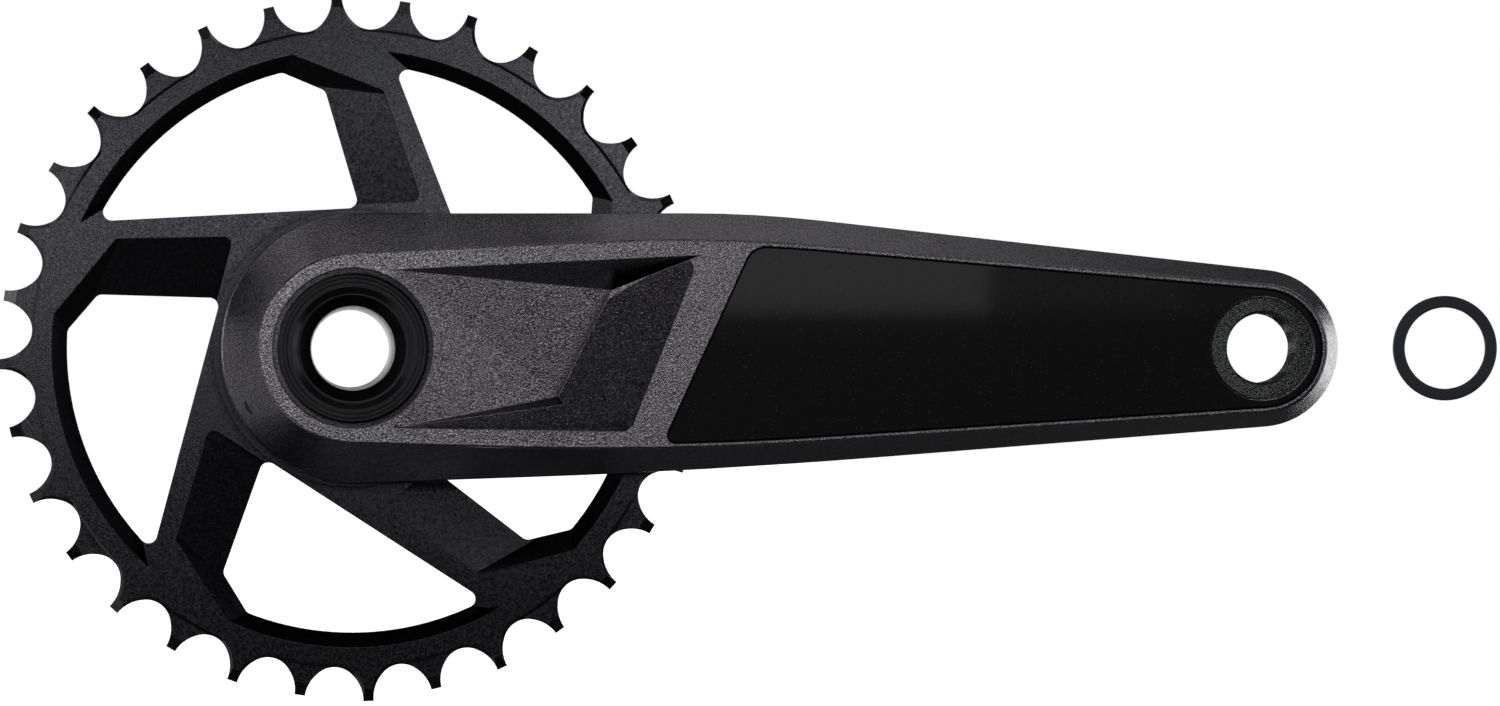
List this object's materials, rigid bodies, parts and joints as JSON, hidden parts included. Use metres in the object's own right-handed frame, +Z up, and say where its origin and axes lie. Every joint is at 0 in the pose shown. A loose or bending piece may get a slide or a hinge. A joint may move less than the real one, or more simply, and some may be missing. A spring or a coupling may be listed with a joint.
{
  "type": "bicycle crankset",
  "caption": "Drive-side crank arm with a direct-mount narrow-wide chainring on a hollow spindle, turning in a threaded outboard-bearing bottom bracket, with a loose pedal washer.",
  "frame": {"origin": "on the spindle axis at the middle of the frame's bottom bracket shell", "axes": "+X along the crank arm to the pedal eye at rest, +Z up, +Y along the spindle towards the left side of the bicycle, so -Y is outboard"},
  "size_m": [0.2811, 0.1504, 0.1346],
  "materials": {
    "arm_anodised": "bead-blasted, anodised charcoal",
    "gloss_panel": "glossy black",
    "insert_black": "rough black oxide",
    "washer_steel": "dark slate, satin",
    "end_ring_black": "turned, anodised black",
    "chainring_black": "blasted, anodised black",
    "bolt_black": "black oxide",
    "spindle_steel": "ground, phosphated",
    "cup_black": "anodised black",
    "race_steel": "ground",
    "ball_steel": "polished",
    "cage_plastic": "moulded nylon",
    "seal_rubber": "moulded",
    "rubber_black": "moulded",
    "plastic_black": "moulded",
    "sleeve_plastic": "moulded"
  },
  "bodies": {
    "bottom_bracket": {"drive_cup": "cup_black", "left_cup": "cup_black", "shell_spacer": "plastic_black", "centre_sleeve": "sleeve_plastic", "drive_sleeve_seal": "rubber_black", "left_sleeve_seal": "rubber_black", "drive_bearing_outer_race": "race_steel", "left_bearing_outer_race": "race_steel", "drive_bearing_seals": "seal_rubber", "left_bearing_seals": "seal_rubber"},
    "crank": {"crank_arm": "arm_anodised", "face_panel": "gloss_panel", "pedal_insert": "insert_black", "crank_end_ring": "end_ring_black", "end_ring_seal": "rubber_black", "chainring": "chainring_black", "chainring_bolts": "bolt_black", "spindle": "spindle_steel", "drive_bearing_inner_race": "race_steel", "left_bearing_inner_race": "race_steel", "drive_bearing_bush": "plastic_black", "left_bearing_bush": "plastic_black"},
    "drive_ball_set": {"drive_bearing_balls": "ball_steel", "drive_bearing_cage": "cage_plastic"},
    "left_ball_set": {"left_bearing_balls": "ball_steel", "left_bearing_cage": "cage_plastic"},
    "loose_washer": {"pedal_washer": "washer_steel"}
  },
  "joints": [
    {"name": "crank_spin", "type": "hinge", "parent": "bottom_bracket", "child": "crank", "pos_m": [0, 0, 0], "axis": [0, 1, 0], "continuous": true},
    {"name": "drive_ball_roll", "type": "hinge", "parent": "bottom_bracket", "child": "drive_ball_set", "pos_m": [0, -0.0437, 0], "axis": [0, 1, 0], "continuous": true},
    {"name": "left_ball_roll", "type": "hinge", "parent": "bottom_bracket", "child": "left_ball_set", "pos_m": [0, 0.0437, 0], "axis": [0, 1, 0], "continuous": true},
    {"name": "washer_slide", "type": "slide", "parent": "crank", "child": "loose_washer", "axis": [-1, 0, 0], "range_m": [0, 0.034]}
  ],
  "couplings": [
    {"joint": "drive_ball_roll", "follows": "crank_spin", "ratio": 0.4435},
    {"joint": "left_ball_roll", "follows": "crank_spin", "ratio": 0.4435}
  ]
}
